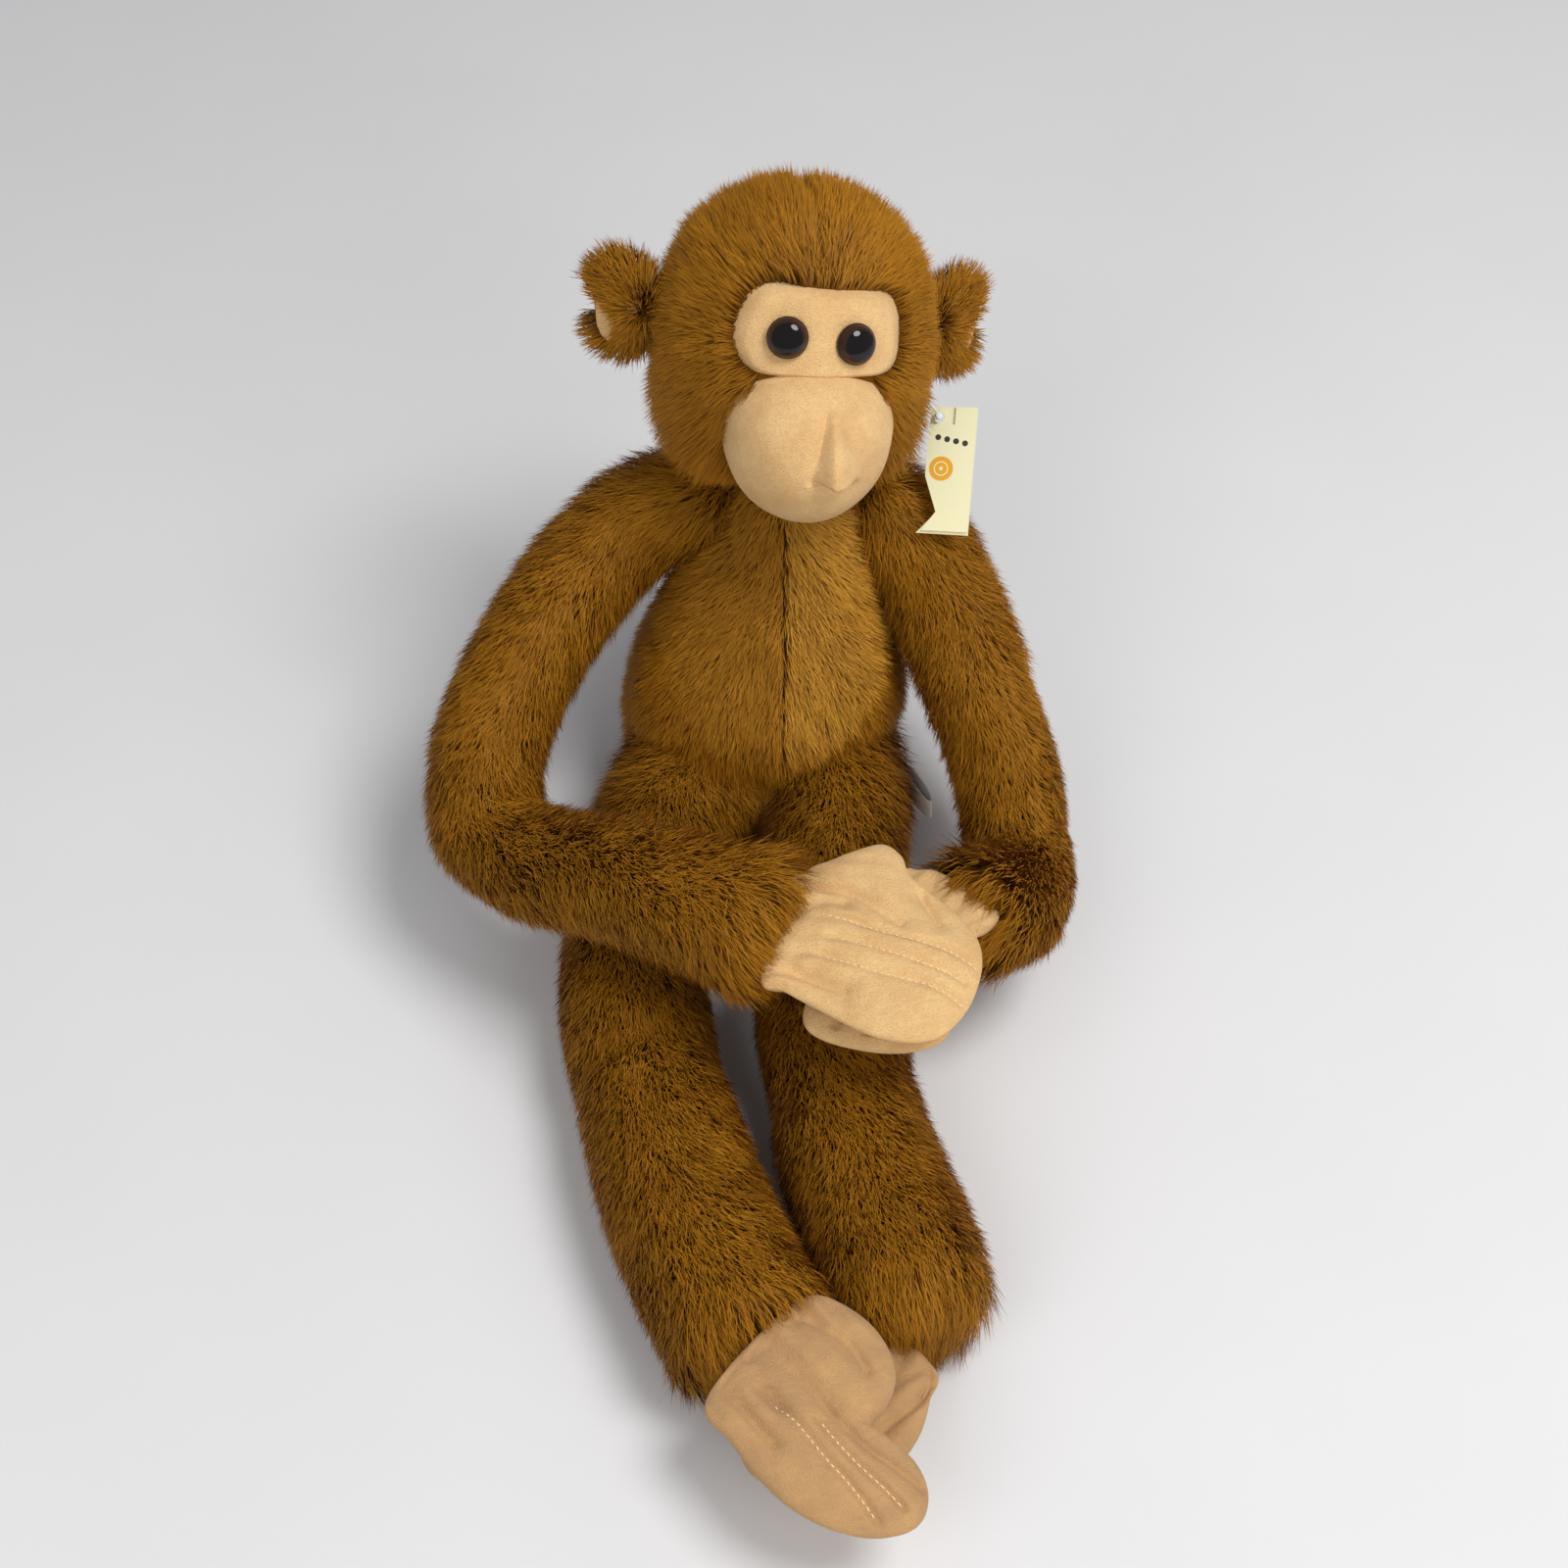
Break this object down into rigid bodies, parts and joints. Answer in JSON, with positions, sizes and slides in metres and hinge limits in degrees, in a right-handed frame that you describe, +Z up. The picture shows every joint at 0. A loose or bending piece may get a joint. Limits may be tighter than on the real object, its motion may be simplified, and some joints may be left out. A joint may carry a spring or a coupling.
{
  "type": "stuffed monkey",
  "caption": "Long-limbed plush monkey seated with hands clasped in front and feet crossed, fur sleeves over stuffing, a hang tag at one ear and a side label.",
  "frame": {"origin": "middle of the flat seat panel's underside, on the surface that the toy sits on", "axes": "+Z up, the toy faces -Y, its left side is at +X"},
  "size_m": [0.2345, 0.4335, 0.2417],
  "materials": {
    "brown_fur": "brown pile fur with golden tips, 9 mm pile",
    "gold_fur": "lighter golden brown pile fur",
    "cream_plush": "short brushed cream plush",
    "filling": "white polyester fibre filling",
    "eye_plastic": "glossy black domed safety eye",
    "washer_plastic": "translucent white moulded plastic",
    "tag_card": "pale yellow coated card",
    "label_satin": "woven white satin ribbon"
  },
  "bodies": {
    "torso": {"torso_fur": "brown_fur", "belly_panel_left": "gold_fur", "belly_panel_right": "gold_fur", "seat_panel": "brown_fur", "torso_stuffing": "filling"},
    "head": {"head_fur_left": "brown_fur", "head_fur_right": "brown_fur", "eye_mask": "cream_plush", "muzzle": "cream_plush", "nose_fold": "cream_plush", "eye_right": "eye_plastic", "eye_left": "eye_plastic", "eye_washer_right": "washer_plastic", "eye_washer_left": "washer_plastic", "head_stuffing": "filling", "tag_fastener": "washer_plastic"},
    "ear_right": {"ear_fur_right": "brown_fur", "ear_lining_right": "cream_plush"},
    "ear_left": {"ear_fur_left": "brown_fur", "ear_lining_left": "cream_plush"},
    "tag": {"tag_back_leaf": "tag_card"},
    "tag_cover": {"tag_front_leaf": "tag_card"},
    "label": {"care_label": "label_satin"},
    "upper_arm_right": {"upper_arm_right_sleeve": "brown_fur", "upper_arm_right_stuffing": "filling"},
    "forearm_right": {"forearm_right_sleeve": "brown_fur", "forearm_right_stuffing": "filling"},
    "thigh_right": {"thigh_right_sleeve": "brown_fur", "thigh_right_stuffing": "filling"},
    "shin_right": {"shin_right_sleeve": "brown_fur", "shin_right_stuffing": "filling"},
    "hand_right": {"hand_right": "cream_plush"},
    "thumb_right": {"thumb_right": "cream_plush"},
    "foot_right": {"foot_right": "cream_plush"},
    "big_toe_right": {"big_toe_right": "cream_plush"},
    "upper_arm_left": {"upper_arm_left_sleeve": "brown_fur", "upper_arm_left_stuffing": "filling"},
    "forearm_left": {"forearm_left_sleeve": "brown_fur", "forearm_left_stuffing": "filling"},
    "thigh_left": {"thigh_left_sleeve": "brown_fur", "thigh_left_stuffing": "filling"},
    "shin_left": {"shin_left_sleeve": "brown_fur", "shin_left_stuffing": "filling"},
    "hand_left": {"hand_left": "cream_plush"},
    "thumb_left": {"thumb_left": "cream_plush"},
    "foot_left": {"foot_left": "cream_plush"},
    "big_toe_left": {"big_toe_left": "cream_plush"}
  },
  "joints": [
    {"name": "neck_turn", "type": "hinge", "parent": "torso", "child": "head", "pos_m": [0.018, 0.041, 0.136], "axis": [0, 0, 1], "range_deg": [-20, 25]},
    {"name": "ear_right_flap", "type": "hinge", "parent": "head", "child": "ear_right", "pos_m": [-0.02993, 0.05667, 0.20635], "axis": [0.1392, 0.3387, 0.9305], "range_deg": [-10, 30]},
    {"name": "ear_left_flap", "type": "hinge", "parent": "head", "child": "ear_left", "pos_m": [0.07192, 0.05684, 0.19105], "axis": [-0.1392, -0.3387, -0.9305], "range_deg": [-10, 30]},
    {"name": "tag_swing", "type": "hinge", "parent": "head", "child": "tag", "pos_m": [0.073, 0.038, 0.157], "axis": [-0.328, -0.5682, 0.7547], "range_deg": [-15, 20]},
    {"name": "tag_open", "type": "hinge", "parent": "tag", "child": "tag_cover", "pos_m": [0.06976, 0.03924, 0.15652], "axis": [-0.1891, -0.7433, -0.6417], "range_deg": [0, 60]},
    {"name": "label_flap", "type": "hinge", "parent": "torso", "child": "label", "pos_m": [0.047, -0.006, 0.027], "axis": [0, 0, 1], "range_deg": [-5, 15]},
    {"name": "shoulder_right", "type": "hinge", "parent": "torso", "child": "upper_arm_right", "pos_m": [-0.018, 0.043, 0.124], "axis": [-1, 0, 0], "range_deg": [0, 60]},
    {"name": "elbow_right", "type": "hinge", "parent": "upper_arm_right", "child": "forearm_right", "pos_m": [-0.109, -0.054, 0.058], "axis": [0, 0, -1], "range_deg": [0, 40]},
    {"name": "wrist_right", "type": "hinge", "parent": "forearm_right", "child": "hand_right", "pos_m": [-0.009, -0.137, 0.086], "axis": [-0.3256, -0.9455, 0], "range_deg": [0, 50]},
    {"name": "thumb_right", "type": "hinge", "parent": "hand_right", "child": "thumb_right", "pos_m": [0.01655, -0.11195, 0.086], "axis": [-0.3256, -0.9455, 0], "range_deg": [0, 25]},
    {"name": "shoulder_left", "type": "hinge", "parent": "torso", "child": "upper_arm_left", "pos_m": [0.052, 0.034, 0.118], "axis": [0, 0, 1], "range_deg": [0, 35]},
    {"name": "elbow_left", "type": "hinge", "parent": "upper_arm_left", "child": "forearm_left", "pos_m": [0.088, -0.078, 0.046], "axis": [0, 0, 1], "range_deg": [0, 40]},
    {"name": "wrist_left", "type": "hinge", "parent": "forearm_left", "child": "hand_left", "pos_m": [0.062, -0.126, 0.071], "axis": [0, 0, 1], "range_deg": [0, 25]},
    {"name": "thumb_left", "type": "hinge", "parent": "hand_left", "child": "thumb_left", "pos_m": [0.03599, -0.10571, 0.071], "axis": [0, 0, -1], "range_deg": [0, 15]},
    {"name": "hip_right", "type": "hinge", "parent": "torso", "child": "thigh_right", "pos_m": [-0.027, -0.01, 0.029], "axis": [0, 0, -1], "range_deg": [0, 10]},
    {"name": "knee_right", "type": "hinge", "parent": "thigh_right", "child": "shin_right", "pos_m": [-0.061, -0.146, 0.024], "axis": [-1, 0, 0], "range_deg": [0, 45]},
    {"name": "ankle_right", "type": "hinge", "parent": "shin_right", "child": "foot_right", "pos_m": [-0.038, -0.267, 0.043], "axis": [-0.8387, -0.5446, 0], "range_deg": [0, 45]},
    {"name": "big_toe_right", "type": "hinge", "parent": "foot_right", "child": "big_toe_right", "pos_m": [-0.01353, -0.26062, 0.04244], "axis": [-0.8387, -0.5446, 0], "range_deg": [0, 25]},
    {"name": "hip_left", "type": "hinge", "parent": "torso", "child": "thigh_left", "pos_m": [0.027, -0.01, 0.029], "axis": [0, 0, 1], "range_deg": [0, 8]},
    {"name": "knee_left", "type": "hinge", "parent": "thigh_left", "child": "shin_left", "pos_m": [0.008, -0.162, 0.024], "axis": [0, 0, 1], "range_deg": [0, 30]},
    {"name": "ankle_left", "type": "hinge", "parent": "shin_left", "child": "foot_left", "pos_m": [0.009, -0.26, 0.02], "axis": [0, 0, 1], "range_deg": [0, 25]},
    {"name": "big_toe_left", "type": "hinge", "parent": "foot_left", "child": "big_toe_left", "pos_m": [0.01478, -0.2862, 0.02], "axis": [0, 0, 1], "range_deg": [0, 15]}
  ]
}
